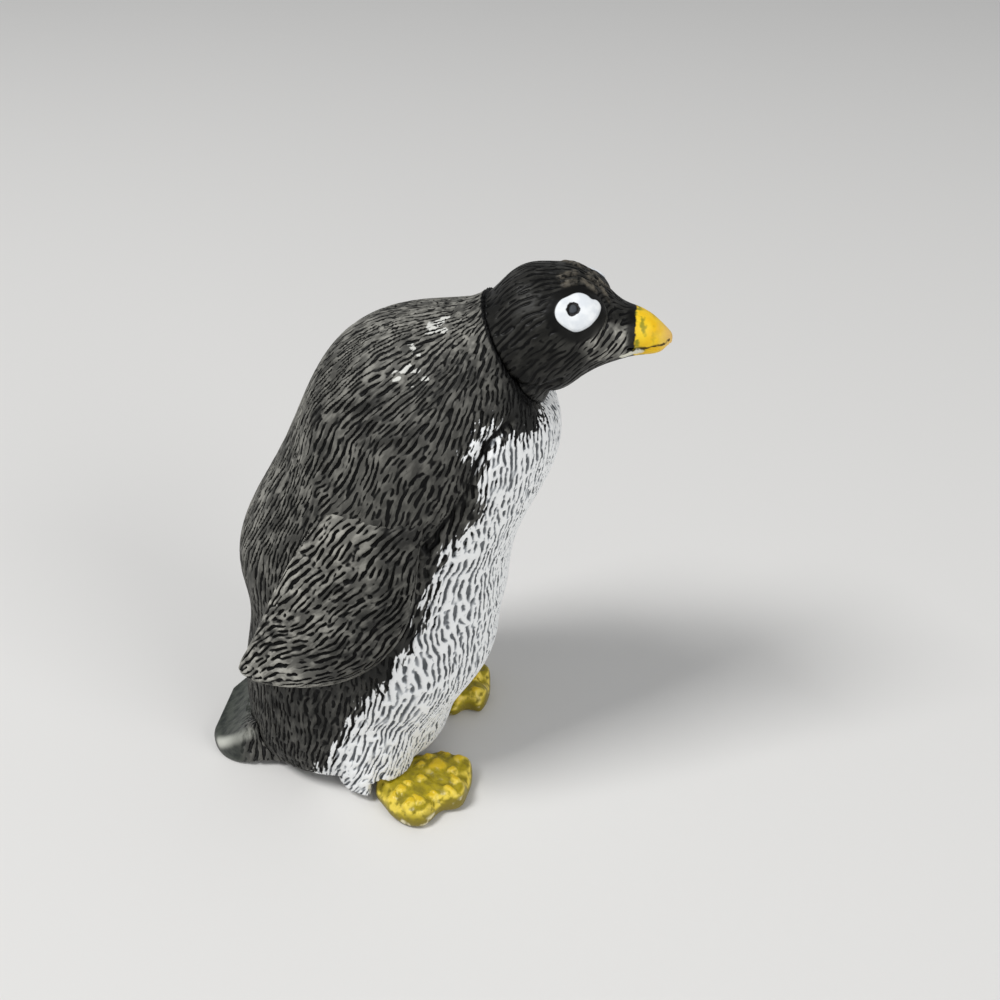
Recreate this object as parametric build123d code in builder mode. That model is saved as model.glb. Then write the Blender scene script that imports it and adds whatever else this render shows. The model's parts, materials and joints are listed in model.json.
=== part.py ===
from build123d import *
import os
from math import cos, radians, sin

# Penguin figurine: a standing bird that faces -Y, moulded in seven pieces.
# Millimetres, +Z up, origin on the ground under the middle of the figure.

# Torso
torso_height = 46.0
torso_depth = 30.0
torso_width = 22.0
leg_clearance = 0.9

# Neck joint: a flat round seam that leans forward, and a plug that snaps in
neck_radius = 5.3
neck_tilt = 30.0
neck_gap = 0.05
stem_radius = 1.8
stem_length = 3.6
ball_radius = 2.5
running_clearance = 0.05

# Head and beak
skull_length = 9.3
skull_height = 12.0
skull_width = 10.9
beak_length = 3.7
beak_height = 4.1
beak_width = 4.4
eye_radius = 2.5
eye_rise = 0.2
eye_lean = 41.0
mouth_width = 0.24
mouth_depth = 0.3

# Flippers
flipper_length = 25.0
flipper_width = 11.5
flipper_thickness = 4.2
flipper_wrap = 12.5
flipper_slope = 14.0

# Feet
foot_length = 8.8
foot_width = 9.6
web_thickness = 1.5
toe_thickness = 2.3
toe_radius = 1.4

# Tail
tail_length = 7.3
tail_width = 12.6
tail_height = 6.9
tail_round = 0.7

# Glued joints
tenon_length = 4.0
tenon_width = 5.0
tenon_thickness = 2.0
peg_radius = 1.2
peg_length = 4.0
glue_clearance = 0.05
end_clearance = 0.3

os.makedirs("parts", exist_ok=True)


def leaning_sections(origin, rows, depth, height, width):
    """Planes and half sizes of the elliptical sections that a table of shares gives."""
    for low_y, low_z, high_y, high_z, half_width in rows:
        low = origin + Vector(0, low_y * depth, low_z * height)
        high = origin + Vector(0, high_y * depth, high_z * height)
        plane = Plane(origin=(low + high) / 2, x_dir=(1, 0, 0), z_dir=Vector(1, 0, 0).cross(high - low))
        yield plane, half_width * width, (high - low).length / 2


def finish(piece, label):
    """Name a finished piece and write its file."""
    piece.label = label
    export_step(piece, f"parts/{label}.step")


# Torso: elliptical sections on leaning planes, from the rump to the shoulders.
# Each row holds the front edge (y, z), the back edge (y, z) and the half width,
# as shares of the torso's depth, height and width.
torso_shares = [
    (0.05, 0.033, 0.517, 0.035, 0.33),
    (-0.053, 0.048, 0.567, 0.043, 0.40),
    (-0.087, 0.105, 0.58, 0.105, 0.445),
    (-0.17, 0.207, 0.577, 0.217, 0.47),
    (-0.233, 0.304, 0.545, 0.337, 0.491),
    (-0.26, 0.413, 0.558, 0.474, 0.50),
    (-0.283, 0.522, 0.485, 0.622, 0.50),
    (-0.337, 0.62, 0.368, 0.764, 0.491),
    (-0.398, 0.707, 0.248, 0.915, 0.455),
    (-0.418, 0.772, 0.072, 0.994, 0.38),
]
# Legs: oval stumps, each tapering out into the thigh above it. The centre (x, y)
# and the half sizes are shares of the torso's width and depth.
ankle_share = (0.29, 0.135)
ankle_radius_shares = (0.165, 0.115)
thigh_share = (0.25, 0.16)
thigh_radius_shares = (0.20, 0.18)
thigh_top_share = 0.20
# Neck: the seam's centre (y, z) as shares of the torso's depth and height.
neck_share = (-0.284, 0.943)

neck_centre = Vector(0, neck_share[0] * torso_depth, neck_share[1] * torso_height)
neck_axis = Vector(0, -cos(radians(neck_tilt)), sin(radians(neck_tilt)))
neck_plane = Plane(origin=neck_centre, x_dir=(1, 0, 0), z_dir=neck_axis)

torso_sections = leaning_sections(Vector(), torso_shares, torso_depth, torso_height, torso_width)

with BuildPart() as torso:
    for plane, half_width, half_depth in torso_sections:
        with BuildSketch(plane):
            Ellipse(half_width, half_depth)
    with BuildSketch(neck_plane):
        Circle(neck_radius)
    loft()
    for side in (-1, 1):
        ankle = (side * ankle_share[0] * torso_width, ankle_share[1] * torso_depth)
        thigh = (side * thigh_share[0] * torso_width, thigh_share[1] * torso_depth)
        with BuildSketch(Plane.XY.offset(leg_clearance)):
            with Locations(ankle):
                Ellipse(ankle_radius_shares[0] * torso_width, ankle_radius_shares[1] * torso_depth)
        with BuildSketch(Plane.XY.offset(thigh_top_share * torso_height)):
            with Locations(thigh):
                Ellipse(thigh_radius_shares[0] * torso_width, thigh_radius_shares[1] * torso_depth)
        loft()

# Head: elliptical sections fanning from the seam round to the beak's root. Each
# row holds the jaw point (y, z) and the crown point from the seam's centre and
# the half width, as shares of the skull's length, height and width.
skull_shares = [
    (-0.380, -0.277, 0.067, 0.506, 0.497),
    (-0.503, -0.240, -0.268, 0.594, 0.491),
    (-0.644, -0.152, -0.526, 0.584, 0.436),
    (-0.816, -0.075, -0.762, 0.467, 0.339),
    (-0.967, -0.033, -0.945, 0.351, 0.252),
]
# Beak: the same kind of rows from the middle of the beak's root, as shares of
# the beak's length, height and width.
beak_shares = [
    (-0.134, -0.50, -0.134, 0.50, 0.50),
    (-0.524, -0.45, -0.524, 0.33, 0.386),
    (-0.793, -0.354, -0.841, 0.085, 0.227),
    (-0.963, -0.232, -0.976, -0.085, 0.08),
]
beak_root_share = 0.154
# Mouth: a fine groove round the beak, with its height on the beak and the half
# width of the uncut core that it leaves, as shares of the beak's height and width.
mouth_level_share = -0.17
mouth_slope = 4.0
mouth_core_share = 0.40
# Eyes: the boss's place (out, forward, up) from the seam's centre, as shares of
# the skull's width, length and height.
eye_shares = (0.365, 0.568, 0.418)

beak_root = neck_centre + Vector(0, -skull_length, beak_root_share * skull_height)
head_sections = [
    *leaning_sections(neck_centre, skull_shares, skull_length, skull_height, skull_width),
    *leaning_sections(beak_root, beak_shares, beak_length, beak_height, beak_width),
]

with BuildPart() as head:
    with BuildSketch(neck_plane.offset(neck_gap)):
        Circle(neck_radius)
    for plane, half_width, half_height in head_sections:
        with BuildSketch(plane):
            Ellipse(half_width, half_height)
    loft()
    # Eyes: low round bosses that look out and up, one on each cheek.
    for side in (-1, 1):
        eye_place = neck_centre + Vector(
            side * eye_shares[0] * skull_width,
            -eye_shares[1] * skull_length,
            eye_shares[2] * skull_height,
        )
        outwards = Vector(side * cos(radians(eye_lean)), 0, sin(radians(eye_lean)))
        with Locations(eye_place + outwards * (eye_rise - eye_radius)):
            Sphere(eye_radius)
    # Mouth: the line between the two halves of the beak.
    mouth_plane = Plane(beak_root + Vector(0, 0, mouth_level_share * beak_height)).rotated((mouth_slope, 0, 0))
    with BuildSketch(mouth_plane):
        Rectangle(beak_width + mouth_depth, 2 * beak_length + mouth_depth, align=(Align.CENTER, Align.MAX))
        Ellipse(mouth_core_share * beak_width, beak_length - mouth_depth, mode=Mode.SUBTRACT)
    extrude(amount=mouth_width / 2, both=True, mode=Mode.SUBTRACT)
    # Plug: a stem with a ball at its end.
    with BuildSketch(neck_plane.offset(-stem_length)):
        Circle(stem_radius)
    extrude(amount=stem_length + neck_gap)
    with Locations(neck_plane.offset(-stem_length)):
        Sphere(ball_radius)

# Right flipper: elliptical sections down a blade that hugs the flank. Each row
# holds the middle of the section (out, back, down) from the shoulder, the half
# width and the half thickness, as shares of the flipper's thickness, length,
# length, width and thickness.
flipper_shares = [
    (-0.80, 0.04, 0.012, 0.24, 0.143),
    (-0.44, 0.085, 0.156, 0.34, 0.286),
    (-0.262, 0.17, 0.376, 0.417, 0.405),
    (-0.19, 0.238, 0.576, 0.504, 0.476),
    (-0.19, 0.328, 0.76, 0.50, 0.50),
    (-0.202, 0.446, 0.902, 0.391, 0.452),
    (-0.286, 0.55, 0.968, 0.252, 0.381),
    (-0.405, 0.616, 0.998, 0.13, 0.238),
]
# The shoulder and the tenon (y, z), as shares of the torso's depth and height.
shoulder_share = (-0.05, 0.848)
flipper_tenon_share = (0.15, 0.55)
tenon_bite_share = 0.1

shoulder = Vector(-torso_width / 2, shoulder_share[0] * torso_depth, shoulder_share[1] * torso_height)
across = Vector(1, 0, 0).rotate(Axis.Z, 90 - flipper_wrap).rotate(Axis.X, flipper_slope)
down = Vector(1, 0, 0).cross(across)
flipper_tenon_plane = Plane(
    origin=(
        tenon_length - torso_width / 2,
        flipper_tenon_share[0] * torso_depth,
        flipper_tenon_share[1] * torso_height,
    ),
    x_dir=(0, 0, 1),
    z_dir=(-1, 0, 0),
)

with BuildPart() as right_flipper:
    for out, back, drop, half_width, half_thickness in flipper_shares:
        centre = shoulder + Vector(-out * flipper_thickness, back * flipper_length, -drop * flipper_length)
        with BuildSketch(Plane(origin=centre, x_dir=across, z_dir=down)):
            Ellipse(half_width * flipper_width, half_thickness * flipper_thickness)
    loft()
    add(torso.part, mode=Mode.SUBTRACT)
    with BuildSketch(flipper_tenon_plane):
        SlotOverall(tenon_width, tenon_thickness)
    extrude(amount=tenon_length + tenon_bite_share * flipper_thickness)

# Right foot: a web with a scalloped rim, cut straight at the heel, and three toes.
# The rim's points and the toes' ends (out, forward) are shares of the foot's
# width and length, measured from the ankle.
heel_share = -0.227
rim_shares = [
    (0.458, -0.045),
    (0.594, 0.136),
    (0.615, 0.364),
    (0.51, 0.455),
    (0.385, 0.523),
    (0.302, 0.67),
    (0.073, 0.784),
    (-0.125, 0.773),
    (-0.292, 0.682),
    (-0.208, 0.557),
    (-0.344, 0.466),
    (-0.375, 0.352),
    (-0.323, 0.284),
    (-0.292, 0.034),
    (-0.052, -0.25),
    (0.25, -0.23),
]
toe_shares = [(0.46, 0.27), (0.225, 0.60), (-0.11, 0.61)]
foot_share = (0.309, 0.06)
heel_radius_share = 0.2
peg_share = -0.07

foot_x = -foot_share[0] * torso_width
foot_y = foot_share[1] * torso_depth
heel_plane = Plane.XZ.offset(heel_share * foot_length - foot_y)
peg_place = (foot_x, foot_y - peg_share * foot_length)


def foot_point(share):
    """Turn a place given as shares from the ankle into a point on the ground."""
    return (foot_x - share[0] * foot_width, foot_y - share[1] * foot_length)


with BuildPart() as right_foot:
    with BuildSketch():
        with BuildLine():
            Spline([foot_point(share) for share in rim_shares], periodic=True)
        make_face()
    extrude(amount=web_thickness)
    with BuildSketch():
        with Locations(peg_place):
            Circle(heel_radius_share * foot_width)
        for share in toe_shares:
            toe_end = Vector(*foot_point(share))
            toe_root = Vector(*peg_place)
            toe = toe_end - toe_root
            with Locations((toe_end + toe_root) / 2):
                SlotCenterToCenter(toe.length, 2 * toe_radius, rotation=toe.get_signed_angle(Vector(1, 0, 0)))
    extrude(amount=toe_thickness)
    split(bisect_by=heel_plane, keep=Keep.TOP)
    with BuildSketch(Plane.XY.offset(toe_thickness)):
        with Locations(peg_place):
            Circle(peg_radius)
    extrude(amount=peg_length)

# Tail: rounded oblong sections on upright planes. Each row holds the reach, the
# underside, the upper side and the half width, as shares of the tail's length,
# height, height and width. The ground cuts it flat below.
tail_shares = [
    (0.0, 0.06, 1.0, 0.49),
    (0.41, 0.02, 0.69, 0.50),
    (0.66, -0.02, 0.45, 0.475),
    (0.86, -0.03, 0.31, 0.40),
    (1.0, 0.01, 0.25, 0.29),
]
tail_root_share = 0.45
rump_share = 0.567
tail_tenon_share = 0.50

tail_tenon_plane = Plane(
    origin=(0, rump_share * torso_depth - tenon_length, tail_tenon_share * tail_height),
    x_dir=(1, 0, 0),
    z_dir=(0, 1, 0),
)

with BuildPart() as tail:
    for reach, under, upper, half_width in tail_shares:
        middle = (0, tail_root_share * torso_depth + reach * tail_length, (under + upper) / 2 * tail_height)
        with BuildSketch(Plane(origin=middle, x_dir=(1, 0, 0), z_dir=(0, 1, 0))):
            RectangleRounded(2 * half_width * tail_width, (upper - under) * tail_height, tail_round)
    loft()
    add(torso.part, mode=Mode.SUBTRACT)
    split(bisect_by=Plane.XY, keep=Keep.TOP)
    with BuildSketch(tail_tenon_plane):
        SlotOverall(tenon_width, tenon_thickness)
    extrude(amount=tenon_length + tail_round)

# Body: the torso with the neck's socket, the flippers' and the tail's mortises,
# a step over the feet and a hole for each peg.
with BuildPart() as body:
    add(torso.part)
    with BuildSketch(neck_plane.offset(-stem_length)):
        Circle(stem_radius + running_clearance)
    extrude(amount=stem_length + neck_gap, mode=Mode.SUBTRACT)
    with Locations(neck_plane.offset(-stem_length)):
        Sphere(ball_radius + running_clearance, mode=Mode.SUBTRACT)
    with BuildSketch(tail_tenon_plane.offset(-end_clearance)):
        SlotOverall(tenon_width + 2 * glue_clearance, tenon_thickness + 2 * glue_clearance)
    extrude(amount=2 * tenon_length, mode=Mode.SUBTRACT)
    with BuildSketch():
        with Locations((0, heel_plane.origin.Y + glue_clearance)):
            Rectangle(2 * torso_width, torso_depth, align=(Align.CENTER, Align.MAX))
    extrude(amount=toe_thickness + glue_clearance, mode=Mode.SUBTRACT)
    with BuildPart(mode=Mode.PRIVATE) as right_cuts:
        with BuildSketch(flipper_tenon_plane.offset(-end_clearance)):
            SlotOverall(tenon_width + 2 * glue_clearance, tenon_thickness + 2 * glue_clearance)
        extrude(amount=2 * tenon_length)
        with BuildSketch(Plane.XY.offset(toe_thickness)):
            with Locations(peg_place):
                Circle(peg_radius + glue_clearance)
        extrude(amount=peg_length + end_clearance)
    add(right_cuts.part, mode=Mode.SUBTRACT)
    add(mirror(right_cuts.part, about=Plane.YZ, mode=Mode.PRIVATE), mode=Mode.SUBTRACT)

finish(body.part, "body")
finish(head.part, "head")
finish(tail.part, "tail")
for name, piece in (("flipper", right_flipper.part), ("foot", right_foot.part)):
    finish(piece, f"right_{name}")
    finish(mirror(piece, about=Plane.YZ), f"left_{name}")
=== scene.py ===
import json

import bpy
import numpy as np
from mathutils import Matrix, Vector
from mathutils.bvhtree import BVHTree


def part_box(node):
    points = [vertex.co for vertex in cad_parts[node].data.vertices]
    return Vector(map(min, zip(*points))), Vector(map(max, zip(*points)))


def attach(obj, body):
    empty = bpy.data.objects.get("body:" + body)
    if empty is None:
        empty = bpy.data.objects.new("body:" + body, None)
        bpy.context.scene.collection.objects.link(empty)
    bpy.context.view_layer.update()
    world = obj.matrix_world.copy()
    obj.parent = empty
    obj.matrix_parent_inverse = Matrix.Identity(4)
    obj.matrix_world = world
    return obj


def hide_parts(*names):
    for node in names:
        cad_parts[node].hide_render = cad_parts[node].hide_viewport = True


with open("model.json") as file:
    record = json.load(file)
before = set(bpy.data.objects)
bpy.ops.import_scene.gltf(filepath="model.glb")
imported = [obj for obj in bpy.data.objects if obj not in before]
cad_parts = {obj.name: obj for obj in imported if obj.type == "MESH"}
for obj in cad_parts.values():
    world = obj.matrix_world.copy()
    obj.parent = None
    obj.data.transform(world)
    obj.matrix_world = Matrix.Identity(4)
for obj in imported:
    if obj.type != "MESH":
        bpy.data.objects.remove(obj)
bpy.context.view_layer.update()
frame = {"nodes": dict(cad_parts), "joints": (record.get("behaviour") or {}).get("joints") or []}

# Camera: held about 13 cm from the bird, off its right side and above its head. It is
# kept level, so that the bird stands upright in the picture.
mm = 0.001
camera_place = Vector((-103.97, -20.01, 91.17)) * mm
camera_direction = Vector((0.8508, 0.1045, -0.5150))
camera = bpy.data.cameras.new("camera")
camera.lens = 49.46
camera.clip_start = 1 * mm
camera_object = bpy.data.objects.new("camera", camera)
camera_object.location = camera_place
camera_object.rotation_euler = camera_direction.to_track_quat("-Z", "Y").to_euler()
bpy.context.scene.collection.objects.link(camera_object)
bpy.context.scene.camera = camera_object

# Body: the torso, hips and thighs, one moulding of soft vinyl. Its feathers are short
# strokes cut in the mould. A painter washed black into them, brushed grey over the
# back and painted the belly white. Part of the grey on the back is a painted sheen, and
# shade is painted dark in the crease over the chest. The neck ends in a socket for the head's plug.
body_voxel = 0.206
body_triangles = 198000
merge_reach = 0.001
seat_margin = 0.1
seat_reach = 0.4

stroke_depth = 0.2
stroke_pitch = 0.57
stroke_reach = 0.9
stroke_stretch = 1.6
sway = 0.5
sway_length = 1.7
bend = 2.2
bend_length = 6.0
break_length = 0.9
break_height = 0.12


def alone(piece):
    """Select one piece and nothing else."""
    bpy.ops.object.select_all(action="DESELECT")
    bpy.context.view_layer.objects.active = piece
    piece.select_set(True)


def finish_with(piece, kind, **settings):
    """Add a modifier with these settings and apply it."""
    modifier = piece.modifiers.new(kind.lower(), kind)
    for name, value in settings.items():
        setattr(modifier, name, value)
    alone(piece)
    bpy.ops.object.modifier_apply(modifier=modifier.name)


def even_copy(node, name, voxel, smoothing=6):
    """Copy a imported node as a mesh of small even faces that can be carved."""
    source = frame["nodes"][node]
    piece = bpy.data.objects.new(name, source.data.copy())
    bpy.context.scene.collection.objects.link(piece)
    alone(piece)
    bpy.ops.object.mode_set(mode="EDIT")
    bpy.ops.mesh.select_all(action="SELECT")
    bpy.ops.mesh.remove_doubles(threshold=merge_reach * mm)
    bpy.ops.object.mode_set(mode="OBJECT")
    finish_with(piece, "REMESH", mode="VOXEL", voxel_size=voxel * mm)
    finish_with(piece, "SMOOTH", factor=0.5, iterations=smoothing)
    finish_with(piece, "SHRINKWRAP", target=source)
    piece.data.materials.clear()
    bpy.ops.object.shade_smooth()
    return piece


def places(piece):
    """The mesh's points, in millimetres."""
    spots = np.empty(len(piece.data.vertices) * 3, np.float32)
    piece.data.vertices.foreach_get("co", spots)
    return spots.reshape(-1, 3).astype(float) / mm


def put(piece, spots):
    """Move the mesh's points to these places, in millimetres."""
    piece.data.vertices.foreach_set("co", (spots * mm).astype(np.float32).ravel())
    piece.data.update()


def facing(piece):
    """The way that the surface faces at each point."""
    normals = np.empty(len(piece.data.vertices) * 3, np.float32)
    piece.data.vertex_normals.foreach_get("vector", normals)
    return normals.reshape(-1, 3).astype(float)


def distance_to(spots, path):
    """How far each place is from a path of straight runs."""
    path = np.array(path, float)
    nearest = np.full(len(spots), np.inf)
    for start, end in zip(path[:-1], path[1:]):
        run = end - start
        share = ((spots - start) @ run / (run @ run)).clip(0, 1)
        nearest = np.minimum(nearest, np.linalg.norm(spots - start - share[:, None] * run, axis=1))
    return nearest


def soft_step(values, low, high):
    """0 below low, 1 above high, and a soft step between."""
    share = ((values - low) / (high - low)).clip(0, 1)
    return share * share * (3 - 2 * share)


def both_sides(path):
    """A path on the bird's right side, and the same on its left."""
    return [path, [(-x, y, z) for x, y, z in path]]


def distance_to_both(spots, path):
    """How far each place is from a path on the right side or the same on the left."""
    return np.minimum(*[distance_to(spots, side_path) for side_path in both_sides(path)])


def press(piece, path, radius, depth):
    """Push the surface in along a path on both sides, or out where depth is below zero."""
    for side_path in both_sides(path):
        spots = places(piece)
        fade = soft_step(distance_to(spots, side_path), radius, 0)
        put(piece, spots - facing(piece) * (depth * fade)[:, None])


def hidden_share(piece, node):
    """1 where another piece lies against this one, and 0 where the surface is open."""
    neighbours = []
    for name, other in frame["nodes"].items():
        if name != node:
            faces = [tuple(face.vertices) for face in other.data.polygons]
            points = [point.co for point in other.data.vertices]
            neighbours.append(BVHTree.FromPolygons(points, faces))
    hidden = np.zeros(len(piece.data.vertices))
    starts = places(piece) * mm - facing(piece) * seat_margin * mm
    for place, (start, normal) in enumerate(zip(starts, facing(piece))):
        for neighbour in neighbours:
            if neighbour.ray_cast(start, normal, seat_reach * mm)[0] is not None:
                hidden[place] = 1
    return hidden


def thin(piece, hidden, triangles):
    """Thin the mesh where it is hidden, until the piece has so many triangles."""
    group = piece.vertex_groups.new(name="hidden")
    group.add(np.flatnonzero(hidden > 0.5).tolist(), 1.0, "REPLACE")
    ratio = triangles / (2 * len(piece.data.polygons))
    if ratio < 1:
        finish_with(piece, "DECIMATE", ratio=ratio, vertex_group="hidden")
    piece.vertex_groups.clear()


def keep(piece, name, values):
    """Keep a number or a vector per point, for the piece's carving and paint to read."""
    kind, field = ("FLOAT_VECTOR", "vector") if values.ndim == 2 else ("FLOAT", "value")
    layer = piece.data.attributes.new(name, kind, "POINT")
    layer.data.foreach_set(field, values.astype(np.float32).ravel())


class Sheet:
    """A node tree that is written as expressions."""

    def __init__(self, tree):
        self.tree = tree
        self.shading = tree.bl_idname == "ShaderNodeTree"

    def node(self, kind, settings=None, output=0, **inputs):
        """Add a node. An input is named with _ for a space, or _ and its place."""
        made = self.tree.nodes.new(kind)
        for name, value in (settings or {}).items():
            setattr(made, name, value)
        for name, value in inputs.items():
            socket = made.inputs[int(name[1:]) if name[0] == "_" else name.replace("_", " ")]
            if isinstance(value, Number):
                self.tree.links.new(value.socket, socket)
            else:
                socket.default_value = value
        return Number(self, made.outputs[output] if made.outputs else None)

    def kept(self, name, vector=False):
        """A number or a vector that keep() left on the mesh."""
        if self.shading:
            output = "Vector" if vector else "Fac"
            return self.node("ShaderNodeAttribute", {"attribute_name": name}, output)
        kind = {"data_type": "FLOAT_VECTOR" if vector else "FLOAT"}
        return self.node("GeometryNodeInputNamedAttribute", kind, Name=name)

    def place(self):
        """Places on the piece, in millimetres."""
        return self.node("ShaderNodeTexCoord", None, "Object").stretched((1 / mm,) * 3)

    def noise(self, at, size, detail=0.0, output=0):
        """Soft noise with patches of about this size."""
        look = {"Vector": at, "Scale": 1 / size, "Detail": detail}
        return self.node("ShaderNodeTexNoise", None, output, **look)

    def blend(self, share, under, over):
        """One colour over another, by a share from 0 to 1."""
        return self.node("ShaderNodeMix", {"data_type": "RGBA"}, 2, _0=share, _6=under, _7=over)

    def finish(self, colour, roughness, gloss, height, relief):
        """The paint's surface: its colour, roughness and gloss, and the fine relief in it."""
        normal = self.node("ShaderNodeBump", Strength=1.0, Distance=relief * mm, Height=height)
        look = {"Base_Color": colour, "Roughness": roughness, "Specular_IOR_Level": gloss}
        coat = self.node("ShaderNodeBsdfPrincipled", Normal=normal, **look)
        self.node("ShaderNodeOutputMaterial", Surface=coat)


class Number:
    """A socket. Sums with it add the nodes that work them out."""

    def __init__(self, sheet, socket):
        self.sheet = sheet
        self.socket = socket

    def maths(self, operation, *values):
        """Add a Math node on these values."""
        inputs = {f"_{place}": value for place, value in enumerate(values)}
        return self.sheet.node("ShaderNodeMath", {"operation": operation}, **inputs)

    def __add__(self, other):
        return self.maths("ADD", self, other)

    def __radd__(self, other):
        return self.maths("ADD", other, self)

    def __sub__(self, other):
        return self.maths("SUBTRACT", self, other)

    def __rsub__(self, other):
        return self.maths("SUBTRACT", other, self)

    def __mul__(self, other):
        return self.maths("MULTIPLY", self, other)

    def __rmul__(self, other):
        return self.maths("MULTIPLY", other, self)

    def step(self, low, high):
        """0 at low, 1 at high, and a soft step between."""
        soft = {"interpolation_type": "SMOOTHSTEP"}
        return self.sheet.node("ShaderNodeMapRange", soft, Value=self, From_Min=low, From_Max=high)

    def moved(self, other):
        """This vector moved by another."""
        return self.sheet.node("ShaderNodeVectorMath", {"operation": "ADD"}, _0=self, _1=other)

    def stretched(self, other):
        """This vector with each part of it times the other's."""
        return self.sheet.node("ShaderNodeVectorMath", {"operation": "MULTIPLY"}, _0=self, _1=other)


def strokes(sheet):
    """Height of the carved strands, from 0 in a cut to 1 on a ridge."""
    flow = sheet.kept("flow", vector=True)
    centred = (-0.5, -0.5, -0.5)
    wave = sheet.noise(flow, sway_length, 1.0, 1).moved(centred).stretched((sway,) * 3)
    turn = sheet.noise(flow, bend_length, 0.0, 1).moved(centred).stretched((bend,) * 3)
    strands = sheet.node(
        "ShaderNodeTexGabor",
        {"gabor_type": "3D"},
        Vector=flow.moved(wave).moved(turn).stretched((1, 1, 1 / stroke_stretch)),
        Scale=1 / stroke_reach,
        Frequency=stroke_reach / stroke_pitch,
        Anisotropy=1.0,
        _5=sheet.kept("across", vector=True),
    )
    breaks = sheet.noise(flow, break_length, 1.0).step(0.45, 0.62)
    return (strands + breaks * break_height).step(0.38, 0.58)


def carve(piece, depth):
    """Cut the strokes into the surface, as deep as the piece's own carving allows."""
    tree = bpy.data.node_groups.new("carving", "GeometryNodeTree")
    tree.interface.new_socket("Geometry", in_out="INPUT", socket_type="NodeSocketGeometry")
    tree.interface.new_socket("Geometry", in_out="OUTPUT", socket_type="NodeSocketGeometry")
    sheet = Sheet(tree)
    amount = (strokes(sheet) - 1) * sheet.kept("carved") * (depth * mm)
    normal = sheet.node("GeometryNodeInputNormal")
    offset = sheet.node("ShaderNodeVectorMath", {"operation": "SCALE"}, _0=normal, Scale=amount)
    cut = sheet.node("GeometryNodeSetPosition", Geometry=sheet.node("NodeGroupInput"), Offset=offset)
    sheet.node("NodeGroupOutput", _0=cut)
    finish_with(piece, "NODES", node_group=tree)
    bpy.data.node_groups.remove(tree)


def paint(name):
    """A new paint, and the sheet that its looks are written on."""
    material = bpy.data.materials.new(name)
    material.use_nodes = True
    material.node_tree.nodes.clear()
    return material, Sheet(material.node_tree)


charcoal = (0.014, 0.014, 0.013, 1)
wash_and_shade_black = (0.001, 0.001, 0.001, 1)
rubbed_and_sheen_grey = (0.38, 0.37, 0.33, 1)
belly_white = (0.86, 0.87, 0.87, 1)
belly_grey = (0.46, 0.48, 0.50, 1)
belly_wash = (0.06, 0.066, 0.072, 1)
fleck_white = (0.62, 0.62, 0.58, 1)
feather_roughness = 0.55
feather_gloss = 0.15
feather_relief = 0.08
patch_size = 4.0
patch_share = 0.3
dab_size = 0.6
dab_share = 0.42
least_rub = 0.05


def dark_plumage(sheet, strand, base=charcoal):
    """Near black, grey on its ridges where it is rubbed or given a painted sheen, and washed black in
    its cuts.
    """
    flow = sheet.kept("flow", vector=True)
    patches = sheet.noise(flow, patch_size, 3.0).step(0.3, 0.7)
    dabs = sheet.noise(flow.stretched((1, 1, 0.4)), dab_size, 2.0).step(0.4, 0.68)
    rubbed_and_sheen = sheet.kept("rubbed_and_sheen") * (least_rub + patches * patch_share + dabs * dab_share)
    colour = sheet.blend(strand.step(0.5, 1.0) * rubbed_and_sheen, base, rubbed_and_sheen_grey)
    return sheet.blend(1 - strand.step(0.25, 0.8), colour, wash_and_shade_black)


# The crease runs from the front of the flipper up over the chest to the throat. The
# shoulder swells behind it, and a fold parts the leg from the foot.
crease = [
    (-10.4, -1.2, 28.6), (-10.1, -2.7, 29.7), (-9.7, -4.3, 31.9), (-9.4, -5.1, 33.2),
    (-9.15, -5.9, 34.7), (-8.8, -6.6, 36.8), (-8.4, -7.1, 37.9), (-7.8, -7.7, 38.7),
    (-7.2, -8.3, 39.2), (-6.7, -8.9, 39.5),
]
crease_radius = 0.9
crease_depth = 0.5
shoulder = [(-10.0, 1.0, 33.5), (-9.2, -2.5, 37.0)]
shoulder_radius = 5.0
shoulder_rise = 0.45
ankle = [(-9.9, 3.2, 4.9), (-9.8, 2.7, 3.0), (-9.6, 2.6, 1.5)]
ankle_radius = 0.8
ankle_depth = 0.35

body = even_copy("body", "carved_body", body_voxel)
thin(body, hidden_share(body, "body"), body_triangles)
crease_shade_line = distance_to_both(places(body), crease)
press(body, crease, crease_radius, crease_depth)
press(body, shoulder, shoulder_radius, -shoulder_rise)
press(body, ankle, ankle_radius, ankle_depth)
body_spots = places(body)
body_hidden = hidden_share(body, "body")

# The feathers fan out from the rump to the neck. Each row holds the front edge
# (y, z) and the back edge (y, z) of one section, and its half width.
fan = np.array([
    (1.5, 1.5, 15.5, 1.6, 9.5),
    (-2.6, 4.8, 17.4, 4.8, 10.0),
    (-5.1, 9.5, 17.3, 10.0, 10.3),
    (-7.8, 19.0, 16.4, 21.8, 11.0),
    (-8.5, 24.0, 14.2, 28.6, 11.0),
    (-9.8, 28.5, 11.8, 34.0, 10.8),
    (-11.6, 33.0, 8.5, 39.6, 10.0),
    (-12.5, 37.5, 4.0, 43.6, 9.2),
    (-13.5, 42.5, -0.5, 47.5, 9.0),
    (-15.0, 48.0, -4.5, 52.0, 9.0),
])
fan_radius = 11.0
chest_lean = 0.5
lean_depths = (-1.0, -7.0)


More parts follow.
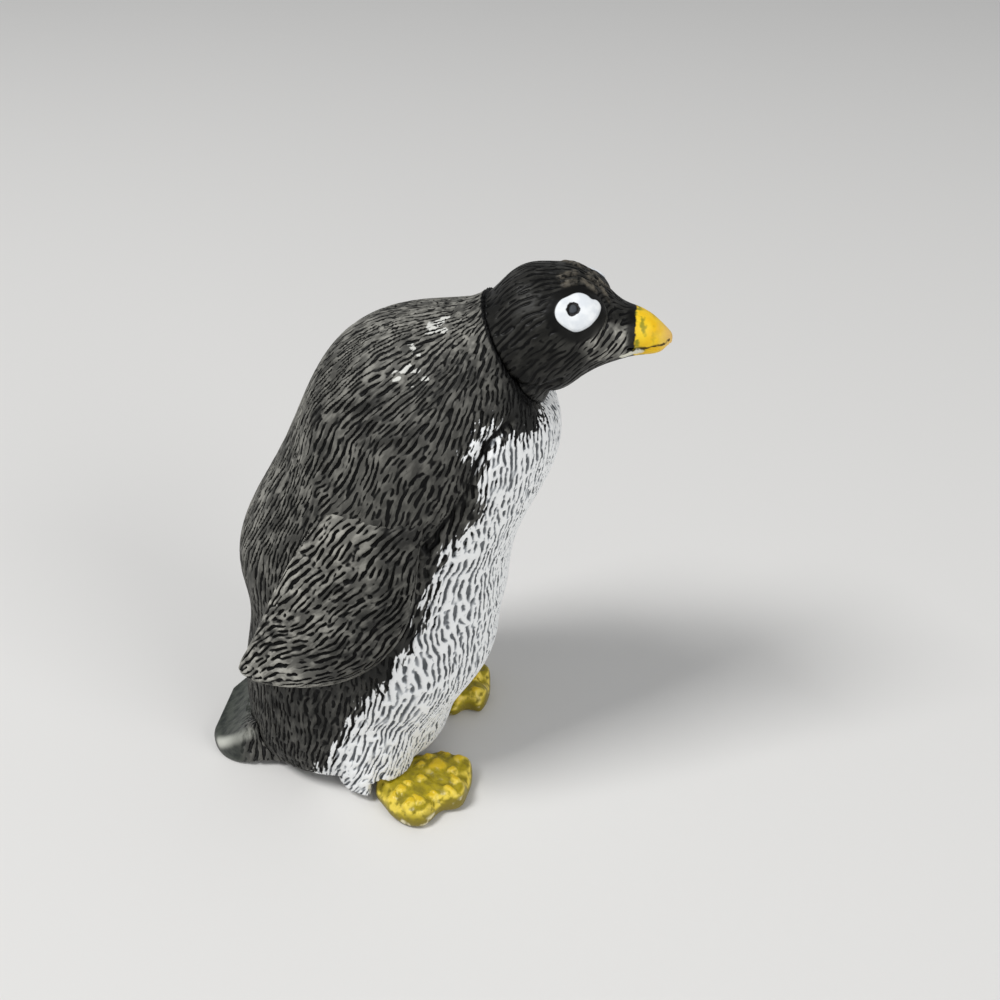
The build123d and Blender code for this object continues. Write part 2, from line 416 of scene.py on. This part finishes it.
def body_flow(spots):
    """Coordinates that follow the feathers: round the torso in two, then along it."""
    front = fan[:, 0:2]
    back = fan[:, 2:4]
    middle = (front + back) / 2
    half_depth = np.linalg.norm(back - front, axis=1) / 2
    backwards = (back - front) / (2 * half_depth[:, None])
    upwards = np.stack([-backwards[:, 1], backwards[:, 0]], axis=1)
    heights = ((spots[:, None, 1:3] - middle[None]) * upwards).sum(2)
    passed = (heights > 0).sum(1).clip(1, len(fan) - 1)
    each = np.arange(len(spots))
    below = heights[each, passed - 1]
    share = (below / (below - heights[each, passed])).clip(-1.0, 2.0)[:, None]
    spine = np.concatenate([[0.0], np.linalg.norm(np.diff(middle, axis=0), axis=1).cumsum()])
    rows = np.column_stack([middle, backwards, half_depth.clip(8.0), fan[:, 4], spine])
    row = rows[passed - 1] + (rows[passed] - rows[passed - 1]) * share
    depth_place = ((spots[:, 1:3] - row[:, 0:2]) * row[:, 2:4]).sum(1) / row[:, 4]
    return np.column_stack([spots[:, 0] / row[:, 5], depth_place, row[:, 6] / fan_radius]) * fan_radius


flow = body_flow(body_spots)
keep(body, "flow", flow)
lean = chest_lean * soft_step(body_spots[:, 1], *lean_depths)
keep(body, "across", np.column_stack([-flow[:, 1], flow[:, 0], -flow[:, 0] * lean]))
keep(body, "carved", 1 - body_hidden)

# The white of the belly: each height and how far back (y) it reaches there, and each
# distance from the middle and how high it reaches up the throat there.
belly_edge = np.array([
    (0.0, 10.5), (2.0, 9.0), (4.8, 7.5), (8.3, 5.8), (11.4, 4.1), (14.0, 2.2), (16.9, 0.3),
    (19.3, -1.2), (22.4, -2.3), (25.0, -2.9), (27.7, -3.8), (29.3, -4.5), (30.7, -5.8),
    (32.0, -7.1), (34.5, -6.8), (38.3, -6.9), (39.5, -7.5),
])
throat_edge = np.array([
    (0.0, 46.0), (1.4, 41.0), (2.8, 38.3), (4.3, 38.1), (5.1, 37.8), (5.9, 37.9), (6.7, 38.1),
    (7.2, 38.4), (7.7, 38.6), (8.9, 39.3),
])
patch = [(-8.7, -6.3, 37.8), (-8.3, -6.8, 38.7), (-7.8, -7.5, 39.2)]
patch_radius = 0.5
belly_back = np.interp(body_spots[:, 2], belly_edge[:, 0], belly_edge[:, 1])
throat = np.interp(np.abs(body_spots[:, 0]), throat_edge[:, 0], throat_edge[:, 1])
belly = np.minimum(belly_back - body_spots[:, 1], throat - body_spots[:, 2])
keep(body, "belly", np.maximum(belly, patch_radius - distance_to_both(body_spots, patch)))

# Grey is brushed over the back from above and behind, then over the flanks and thighs.
# Where the back faces up and back, the grey is partly a painted sheen of the light.
brush_and_sheen_from = np.array([0.0, 0.6, 0.8])
brush_and_sheen_heights = (10.0, 24.0)
flank_share = 0.42
flank_heights = (17.0, 25.0)
flank_depths = (-9.5, -7.0)
thigh_share = 0.3
thigh_heights = (17.0, 12.0)
upper = 0.25 + 0.75 * soft_step(body_spots[:, 2], *brush_and_sheen_heights)
brush_and_sheen = soft_step(facing(body) @ brush_and_sheen_from, -0.3, 1.0) * upper
flank = soft_step(body_spots[:, 2], *flank_heights) * soft_step(body_spots[:, 1], *flank_depths)
thigh = soft_step(body_spots[:, 2], *thigh_heights)
rubbed_and_sheen = [brush_and_sheen, flank_share * flank, thigh_share * thigh]
keep(body, "rubbed_and_sheen", np.maximum.reduce(rubbed_and_sheen))

# A dark line lies in the seam of the neck, and shade is painted dark in the crease, but not under the
# throat.
throat_depths = (10.3, 10.9)
neck_centre = np.array(frame["joints"][0]["pos_m"]) / mm
neck_axis = np.array(frame["joints"][0]["axis"])
seam = np.abs((body_spots - neck_centre) @ neck_axis)
seam += 2 * soft_step(-body_spots[:, 1], *throat_depths)
keep(body, "seam_and_shade_line", np.minimum(crease_shade_line, seam))

# Flecks of white paint, dropped on the right shoulder: a place and a size each.
flecks = [
    (-2.6, -2.7, 46.3, 0.5), (-3.5, -3.2, 46.0, 0.45), (-3.1, -2.4, 46.1, 0.4),
    (-3.6, -2.0, 45.8, 0.3), (-3.85, -5.3, 46.6, 0.35), (-4.98, -0.75, 44.75, 0.5),
    (-5.4, -1.4, 44.6, 0.4), (-4.6, -0.7, 45.0, 0.3), (-6.2, -0.75, 43.95, 0.4),
    (-6.5, -0.4, 43.65, 0.45), (-6.9, -0.05, 43.1, 0.4), (-7.05, -2.2, 43.25, 0.4),
    (-6.6, -1.5, 43.8, 0.3), (-2.1, -3.4, 46.7, 0.3), (-5.8, 0.6, 44.0, 0.3),
    (-7.4, -1.2, 42.7, 0.3),
]
dabbed = np.zeros(len(body_spots))
for x, y, z, size in flecks:
    streak = [(x, y, z), (x, y + 2 * size, z - size)]
    dabbed = np.maximum(dabbed, 1 - distance_to(body_spots, streak) / size)
keep(body, "flecks", dabbed)
carve(body, stroke_depth)

body_paint, sheet = paint("body_paint")
strand = strokes(sheet)
ragged = sheet.noise(sheet.kept("flow", vector=True).stretched((1, 1, 0.25)), 0.45, 2.0)
white = (sheet.kept("belly") + (ragged - 0.5) * 5.5 + (strand - 0.7) * 1.0).step(-0.15, 0.25)
pale = sheet.blend(strand.step(0.5, 1.0), belly_grey, belly_white)
pale = sheet.blend((1 - strand.step(0.0, 0.75)) * (0.55 + ragged * 0.6), pale, belly_wash)
colour = sheet.blend(white, dark_plumage(sheet, strand), pale)
dab = (sheet.kept("flecks") + (ragged - 0.5) * 1.0).step(0.32, 0.45) * strand.step(0.5, 0.85)
colour = sheet.blend(dab, colour, fleck_white)
# Shade painted dark in the crease, and the dark line of the neck's seam.
line = 1 - (sheet.kept("seam_and_shade_line") + (ragged - 0.5) * 0.3).step(0.16, 0.34)
colour = sheet.blend(line, colour, wash_and_shade_black)
sheet.finish(colour, feather_roughness, feather_gloss, strand, feather_relief)
body.data.materials.append(body_paint)
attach(body, "torso")
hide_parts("body")

# Flippers: two moulded wings, glued to the flanks by a tenon. Their strokes sweep from
# the leading edge back to the tip. The painter rubbed the tip and trailing edge pale, and a
# painted sheen adds to the pale where the trailing edge faces back and up.
# Each row of flipper_strokes holds a place (y, z) and the strokes' slope in degrees.
flipper_voxel = 0.105
flipper_along = (0.0, -0.74, 0.67)
flipper_strokes = np.array([
    (-0.4, 27.2, 64), (0.9, 23.4, 58), (5.7, 23.5, 41), (8.9, 15.9, 16), (5.6, 17.0, 25),
    (9.5, 26.0, 41), (12.4, 18.8, 24), (2.0, 33.1, 60), (3.8, 29.5, 50), (7.7, 20.3, 33),
])
shoulder_sink = 1.3
shoulder_heights = (30.5, 35.0)
base_heights = (33.0, 28.0)
tip_slope = 0.5
tip_heights = (14.0, 9.0)
edge_rub_and_sheen = 1.4
tip_rub = 1.3
most_rub = 1.8


def comb(piece, ways, along):
    """Lay strokes in these directions, in coordinates whose third axis is their mean."""
    along = np.array(along) / np.linalg.norm(along)
    sideways = np.array([1.0, 0.0, 0.0])
    axes = np.column_stack([sideways, np.cross(along, sideways), along])
    keep(piece, "flow", places(piece) @ axes)
    keep(piece, "across", np.cross(facing(piece), ways) @ axes)


for side, word in ((-1, "right"), (1, "left")):
    node = f"{word}_flipper"
    flipper = even_copy(node, f"carved_{word}_flipper", flipper_voxel)
    hidden = hidden_share(flipper, node)
    spots = places(flipper)
    spots[:, 0] -= side * shoulder_sink * soft_step(spots[:, 2], *shoulder_heights)
    put(flipper, spots)
    reaches = np.linalg.norm(spots[:, None, 1:3] - flipper_strokes[None, :, 0:2], axis=2)
    weights = 1 / (reaches ** 2 + 1.0)
    slopes = np.radians(weights @ flipper_strokes[:, 2] / weights.sum(1))
    comb(flipper, np.column_stack([0 * slopes, -np.cos(slopes), np.sin(slopes)]), flipper_along)
    keep(flipper, "carved", 1 - hidden)
    # The trailing edge is pale partly from rubbing and partly from a painted sheen where it faces back
    # and up.
    rear_rub_and_sheen = soft_step(facing(flipper) @ np.array([side * 0.2, 0.9, 0.35]), 0.1, 0.9)
    tip = soft_step(spots[:, 2] - spots[:, 1] * tip_slope, *tip_heights)
    base = 0.25 + 0.25 * soft_step(spots[:, 2], *base_heights)
    keep(flipper, "rubbed_and_sheen", (base + edge_rub_and_sheen * rear_rub_and_sheen + tip_rub * tip).clip(0, most_rub))
    carve(flipper, stroke_depth)
    flipper_paint, sheet = paint(f"{word}_flipper_paint")
    strand = strokes(sheet)
    colour = dark_plumage(sheet, strand)
    sheet.finish(colour, feather_roughness, feather_gloss, strand, feather_relief)
    flipper.data.materials.append(flipper_paint)
    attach(flipper, "torso")
    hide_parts(node)

# Head: one moulding with its beak and low eye bosses, on a plug that turns in the neck.
# It is nearly black and a little glossy, with thick white eyes dabbed on by hand, a
# yellow beak, and grey rubbed over the brows and cheeks.
head_voxel = 0.09
eye_place = (-4.0, -13.85, 48.35)
eye_normal = np.array([-0.75, 0.0, 0.66])
eye_forwards = np.array([0.0, -1.0, 0.0])
eye_outline = [
    (-0.82, 1.14), (-0.32, 1.52), (0.19, 1.65), (0.70, 1.46), (1.01, 1.12), (1.39, 1.23),
    (1.70, 0.95), (1.80, 0.57), (1.65, -0.13), (1.36, -0.63), (0.95, -1.14), (0.06, -1.62),
    (-0.82, -1.39), (-1.58, -0.89), (-1.81, -0.13), (-1.46, 0.76),
]
eye_rounding = 3
eye_reach = 3.5
eye_below = -1.2
pupil_place = (-0.35, 0.10)
pupil_radius = 0.55
pupil_glint_radius = 0.3
eye_relief = 0.12
pupil_sink = 0.6
beak_start = -18.4
smooth_depths = (-17.2, -18.2)
jaw = [
    (-5.2, -9.0, 42.6), (-4.9, -10.2, 41.9), (-4.1, -11.1, 41.5), (-4.1, -12.0, 41.9),
    (-4.2, -12.6, 42.3),
]
jaw_radius = 0.7
jaw_depth = 0.25
jaw_spread = 0.05
brows = [
    [(-1.7, -12.4, 50.3), (-0.75, -13.4, 50.3)],
    [(-2.3, -12.7, 50.0), (-1.5, -13.8, 49.95), (-1.4, -15.1, 49.3)],
    [(-0.3, -14.5, 49.8), (-0.5, -15.6, 49.2), (-1.2, -16.4, 48.5)],
]
brow_radius = 0.5
brow_rise = 0.14
cheek = [(-3.8, -15.7, 45.9), (-2.9, -17.1, 45.2), (-3.3, -16.2, 44.7)]
mouth = [
    (-2.06, -17.93, 44.1), (-1.95, -18.4, 44.3), (-1.67, -18.9, 44.36), (-1.57, -19.35, 44.45),
    (-1.6, -19.83, 44.55), (-1.42, -20.31, 44.6), (-1.05, -20.78, 44.63), (-0.57, -21.17, 44.8),
]
smear = [(-1.75, -18.9, 44.05), (-1.9, -17.95, 43.9), (-2.05, -17.5, 43.8)]
head_along = (0.0, 0.77, -0.64)
head_carving = 0.4
head_black = (0.0035, 0.0035, 0.003, 1)
brow_brown = (0.13, 0.115, 0.09, 1)
beak_yellow = (0.84, 0.50, 0.012, 1)
beak_gold = (0.90, 0.62, 0.03, 1)
beak_olive = (0.30, 0.27, 0.02, 1)
beak_tip = (0.76, 0.50, 0.20, 1)
mouth_brown = (0.06, 0.04, 0.008, 1)
smear_white = (0.72, 0.71, 0.6, 1)
eye_shade = (0.70, 0.73, 0.76, 1)
eye_white = (0.82, 0.84, 0.85, 1)
pupil_glint_grey = (0.035, 0.042, 0.05, 1)


def rounded(outline, rounds):
    """An outline with its corners cut, over and over."""
    for _ in range(rounds):
        cut = []
        for (x0, y0), (x1, y1) in zip(outline, outline[1:] + outline[:1]):
            cut.append((0.75 * x0 + 0.25 * x1, 0.75 * y0 + 0.25 * y1))
            cut.append((0.25 * x0 + 0.75 * x1, 0.25 * y0 + 0.75 * y1))
        outline = cut
    return outline


def inside(points, outline):
    """How far each point is inside an outline on its plane, and below zero outside it."""
    corners = np.array(outline, float)
    nearest = distance_to(points, np.vstack([corners, corners[:1]]))
    crossings = np.zeros(len(points), int)
    for (x0, y0), (x1, y1) in zip(corners, np.roll(corners, -1, axis=0)):
        spans = (y0 > points[:, 1]) != (y1 > points[:, 1])
        edge = x0 + (points[:, 1] - y0) * (x1 - x0) / np.where(y1 == y0, 1, y1 - y0)
        crossings += spans & (points[:, 0] < edge)
    return np.where(crossings % 2 == 1, nearest, -nearest)


head = even_copy("head", "carved_head", head_voxel)
head_hidden = hidden_share(head, "head")
for brow in brows:
    press(head, brow, brow_radius, -brow_rise)
jaw_shadow_line = distance_to_both(places(head), jaw)
press(head, jaw, jaw_radius, jaw_depth)
head_spots = places(head)
eye_edge = rounded(eye_outline, eye_rounding)
white_eye = np.full(len(head_spots), -eye_reach)
pupil = np.full(len(head_spots), eye_reach)
for side in (-1, 1):
    normal = eye_normal * (-side, 1, 1)
    upwards = np.cross(eye_forwards, normal) * side
    offset = head_spots - np.array(eye_place) * (-side, 1, 1)
    near = (offset @ normal > eye_below) & (np.linalg.norm(offset, axis=1) < eye_reach)
    on_plane = np.column_stack([offset @ eye_forwards, offset @ upwards])
    white_eye[near] = inside(on_plane[near], eye_edge)
    pupil[near] = np.linalg.norm(on_plane[near] - pupil_place, axis=1)
dabbed_on = soft_step(white_eye, -0.05, 0.15)
sunk = soft_step(pupil, pupil_radius + 0.05, pupil_radius - 0.1)
raised = dabbed_on - pupil_sink * sunk
put(head, head_spots + facing(head) * (raised * eye_relief)[:, None])
keep(head, "eye", white_eye)
keep(head, "pupil", pupil)

comb(head, head_along, head_along)
bare = soft_step(white_eye, -1.2, -0.4)
bare = np.maximum(bare, soft_step(head_spots[:, 1], *smooth_depths))
bare = np.maximum(bare, head_hidden)
keep(head, "carved", head_carving * (1 - bare))
brow_line = np.minimum.reduce([distance_to_both(head_spots, brow) for brow in brows])
keep(head, "brow", soft_step(brow_line, 0.6, 0.1))
keep(head, "rubbed_and_sheen", 0.12 + 1.5 * soft_step(distance_to_both(head_spots, cheek), 2.1, 0.6))
keep(head, "mouth", distance_to_both(head_spots, mouth))
keep(head, "smear", distance_to_both(head_spots, smear))
head_seam = np.abs((head_spots - neck_centre) @ neck_axis)
keep(head, "seam_and_shade_line", np.minimum(head_seam, jaw_shadow_line - jaw_spread))
carve(head, stroke_depth)

head_paint, sheet = paint("head_paint")
place = sheet.place()
past_start = beak_start - sheet.node("ShaderNodeSeparateXYZ", None, "Y", Vector=place)
fine = sheet.noise(place, 0.5, 3.0)
strand = strokes(sheet)
carved = sheet.kept("carved")
dark = dark_plumage(sheet, 0.6 + (strand - 0.6) * carved.step(0.0, 0.4), head_black)
dark = sheet.blend(sheet.kept("brow") * fine.step(0.35, 0.65), dark, brow_brown)
stain = sheet.noise(place, 0.9, 2.0).step(0.48, 0.62) * (1 - past_start.step(0.2, 2.4))
yellow = sheet.blend(sheet.noise(place, 1.2, 2.0).step(0.3, 0.7), beak_yellow, beak_gold)
yellow = sheet.blend(stain, yellow, beak_olive)
tip = (past_start + (fine - 0.5) * 0.8).step(1.5, 3.0)
yellow = sheet.blend(tip * 0.75, yellow, beak_tip)
beak = (past_start + (fine - 0.5) * 0.5).step(-0.08, 0.08)
line = (1 - (sheet.kept("mouth") + (fine - 0.5) * 0.3).step(0.08, 0.2)) * fine.step(0.3, 0.5)
yellow = sheet.blend(line, yellow, mouth_brown)
colour = sheet.blend(beak, dark, yellow)
smeared = 1 - (sheet.kept("smear") + (fine - 0.5) * 0.8).step(0.2, 0.4)
colour = sheet.blend(smeared, colour, smear_white)
# Shadow painted dark under the jaw, and the dark line of the neck's seam.
colour = sheet.blend(1 - sheet.kept("seam_and_shade_line").step(0.1, 0.25), colour, wash_and_shade_black)
white = sheet.blend(sheet.noise(place, 0.8, 2.0).step(0.35, 0.7), eye_shade, eye_white)
colour = sheet.blend(sheet.kept("eye").step(-0.04, 0.04), colour, white)
from_pupil = sheet.kept("pupil") + (fine - 0.5) * 0.3
colour = sheet.blend(from_pupil.step(pupil_radius + 0.04, pupil_radius - 0.04), colour, wash_and_shade_black)
# A grey glint is painted in the middle of each pupil.
colour = sheet.blend(from_pupil.step(pupil_glint_radius + 0.06, pupil_glint_radius - 0.06), colour, pupil_glint_grey)
height = fine * 0.3 + strand * carved
sheet.finish(colour, roughness=0.42, gloss=0.15, height=height, relief=0.05)
head.data.materials.append(head_paint)
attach(head, "head")
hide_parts("head")

# Feet: webbed feet with a knuckled top, each glued on by a peg into the leg. They are
# yellow, with an olive wash lying between the knuckles. A pale highlight is painted along
# the rounded rim of the top, and the side walls are painted dark in shade, with a pale stain.
# Each row of foot_knuckles holds a place (x, y) on the right foot and a radius.
foot_voxel = 0.09
foot_smoothing = 420
foot_shift = -0.2
foot_thickness = 2.6
foot_knuckles = [
    (-10.1, 0.8, 0.8), (-10.8, 1.5, 0.75), (-11.8, -0.2, 0.8), (-11.2, -1.0, 0.75),
    (-12.3, 0.4, 0.6), (-6.5, -2.0, 1.3), (-6.7, -0.4, 0.6), (-8.0, -3.9, 0.7),
    (-7.0, -3.6, 0.6), (-5.2, -4.0, 0.8), (-4.2, -2.4, 0.9), (-10.2, -2.2, 0.7),
    (-9.6, -3.6, 0.7), (-8.4, -0.8, 0.7), (-9.2, 0.2, 0.6), (-5.2, -1.0, 0.7),
]
knuckle_height = 0.35
knuckle_flat = 0.25
wobble_reach = 0.16
wobble_pace = (4.1, 3.7)
foot_valley = [(-7.6, -0.9, 2.0), (-8.4, -2.2, 2.0), (-9.0, -4.0, 2.0)]
valley_radius = 0.7
valley_depth = 0.25
rim_highlight_share = 0.85
foot_yellow = (0.37, 0.29, 0.006, 1)
foot_gold = (0.66, 0.46, 0.011, 1)
foot_olive = (0.22, 0.175, 0.005, 1)
foot_wall_shade = (0.22, 0.17, 0.01, 1)
foot_rim_highlight = (0.88, 0.68, 0.09, 1)
foot_stain = (0.75, 0.68, 0.45, 1)

for side, word in ((-1, "right"), (1, "left")):
    node = f"{word}_foot"
    foot = even_copy(node, f"carved_{word}_foot", foot_voxel, smoothing=14)
    hidden = hidden_share(foot, node)
    finish_with(foot, "SMOOTH", factor=0.5, iterations=foot_smoothing)
    spots = places(foot)
    low, high = spots.min(0), spots[spots[:, 2] < foot_thickness].max(0)
    corners = np.array(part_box(node)) / mm
    spread = ((corners[1] - corners[0]) / (high - low))[0:2]
    spots[:, 0:2] = corners[0, 0:2] + (spots[:, 0:2] - low[0:2]) * spread
    spots += np.array([0, foot_shift, -low[2]])
    put(foot, spots)
    top = soft_step(facing(foot)[:, 2], 0.2, 0.8) * (1 - hidden)
    rise = np.zeros(len(spots))
    wobble = wobble_reach * np.sin(spots[:, [1, 0]] * wobble_pace)
    for x, y, radius in foot_knuckles:
        reach = np.linalg.norm(spots[:, 0:2] + wobble - (-side * x, y), axis=1)
        rise = np.maximum(rise, soft_step(reach, radius, radius * knuckle_flat))
    valley = [(-side * x, y, z) for x, y, z in foot_valley]
    sunk = soft_step(distance_to(spots, valley), valley_radius, 0.1)
    lift = rise * knuckle_height - sunk * valley_depth
    put(foot, spots + np.array([0, 0, 1]) * (lift * top)[:, None])
    keep(foot, "rise", rise * top * (1 - sunk))
    steep = facing(foot)[:, 2]
    # A painted highlight along the rounded rim, where the surface turns from the top to the side.
    rim_highlight = rim_highlight_share * soft_step(steep, 0.2, 0.5) * soft_step(steep, 0.88, 0.62)
    keep(foot, "rim_highlight", rim_highlight * (1 - hidden))
    keep(foot, "wall_shade", soft_step(steep, 0.3, 0.05))
    foot_paint, sheet = paint(f"{word}_foot_paint")
    place = sheet.place()
    fine = sheet.noise(place, 0.6, 3.0)
    rise = sheet.kept("rise") + (fine - 0.5) * 1.2
    colour = sheet.blend(rise.step(-0.25, 0.2), foot_olive, foot_yellow)
    colour = sheet.blend(rise.step(0.25, 0.8), colour, foot_gold)
    colour = sheet.blend(sheet.kept("rim_highlight") * fine.step(0.3, 0.55), colour, foot_rim_highlight)
    # The side walls are painted in shade, dark olive, with a pale stain.
    stain = sheet.blend(sheet.noise(place, 1.4, 2.0).step(0.6, 0.7), foot_wall_shade, foot_stain)
    colour = sheet.blend(sheet.kept("wall_shade"), colour, stain)
    sheet.finish(colour, roughness=0.35, gloss=0.4, height=fine, relief=0.12)
    foot.data.materials.append(foot_paint)
    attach(foot, "torso")
    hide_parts(node)

# Tail: a blunt wedge, glued in by a tenon. It is smooth and grey green, with a few
# strokes where it meets the rump. Its corners are rubbed pale, and a pale highlight is
# painted along its upper edges.
tail_voxel = 0.12
tail_along = (0.0, -0.15, 1.0)
tail_rub = 0.5
rump_depths = (17.8, 16.2)
corner_depths = (17.5, 19.5)
edge_radius = 0.85
tail_edge = [(-4.9, 19.9, 1.4), (-5.5, 19.15, 2.05), (-6.05, 17.9, 3.05), (-6.3, 16.1, 4.2)]
tail_dark = (0.014, 0.018, 0.015, 1)
tail_green = (0.055, 0.062, 0.050, 1)
tail_rub_and_highlight = (0.55, 0.56, 0.50, 1)

tail = even_copy("tail", "carved_tail", tail_voxel, smoothing=10)
tail_spots = places(tail)
edge = soft_step(distance_to_both(tail_spots, tail_edge), edge_radius, 0.1)
keep(tail, "edge", edge * (0.45 + 0.55 * soft_step(tail_spots[:, 1], *corner_depths)))
keep(tail, "carved", soft_step(tail_spots[:, 1], *rump_depths))
keep(tail, "rubbed_and_sheen", np.full(len(tail_spots), tail_rub))
comb(tail, tail_along, tail_along)
carve(tail, stroke_depth)

tail_paint, sheet = paint("tail_paint")
fine = sheet.noise(sheet.place(), 0.8, 3.0)
strand = strokes(sheet)
carved = sheet.kept("carved")
colour = sheet.blend(fine.step(0.3, 0.7), tail_dark, tail_green)
colour = sheet.blend(carved, colour, dark_plumage(sheet, strand))
# Pale rubbing at the corners, and a painted highlight along the upper edges.
colour = sheet.blend(sheet.kept("edge") * (fine + 0.4).step(0.3, 0.75), colour, tail_rub_and_highlight)
height = fine + strand * carved
sheet.finish(colour, roughness=0.4, gloss=0.3, height=height, relief=0.08)
tail.data.materials.append(tail_paint)
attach(tail, "torso")
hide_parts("tail")

# Studio: a plain pale floor and a pale surround. Two soft lamps light the bird, the key
# lamp from behind its right shoulder and a larger, weaker one from its right and front.
# Each lamp has a place, a size and a power.
floor_size = 3.0
floor_colour = (0.75, 0.74, 0.72, 1)
surround = (0.9, 0.92, 0.95, 1)
surround_strength = 0.35
seen_strength = 0.8
lamps = {
    "key": ((-0.24, 0.32, 0.64), 0.24, 3.8),
    "fill": ((-0.44, -0.56, 0.36), 0.4, 2.2),
}
lamp_aim = Vector((0, 0, 0.025))

bpy.ops.mesh.primitive_plane_add(size=floor_size)
floor = bpy.context.object
floor.name = "floor"
floor_paint, sheet = paint("floor_paint")
sheet.finish(floor_colour, roughness=0.7, gloss=0.3, height=0.0, relief=0.0)
floor.data.materials.append(floor_paint)

world = bpy.data.worlds.new("surround")
world.use_nodes = True
world.node_tree.nodes.clear()
sheet = Sheet(world.node_tree)
seen = sheet.node("ShaderNodeLightPath", None, "Is Camera Ray")
strength = surround_strength + seen * (seen_strength - surround_strength)
surface = sheet.node("ShaderNodeBackground", Color=surround, Strength=strength)
sheet.node("ShaderNodeOutputWorld", Surface=surface)
bpy.context.scene.world = world
bpy.context.scene.view_settings.view_transform = "Standard"
for name, (place, size, power) in lamps.items():
    lamp = bpy.data.lights.new(name, "AREA")
    lamp.size = size
    lamp.energy = power
    lamp_object = bpy.data.objects.new(name, lamp)
    lamp_object.location = place
    aim = lamp_aim - Vector(place)
    lamp_object.rotation_euler = aim.to_track_quat("-Z", "Y").to_euler()
    bpy.context.scene.collection.objects.link(lamp_object)
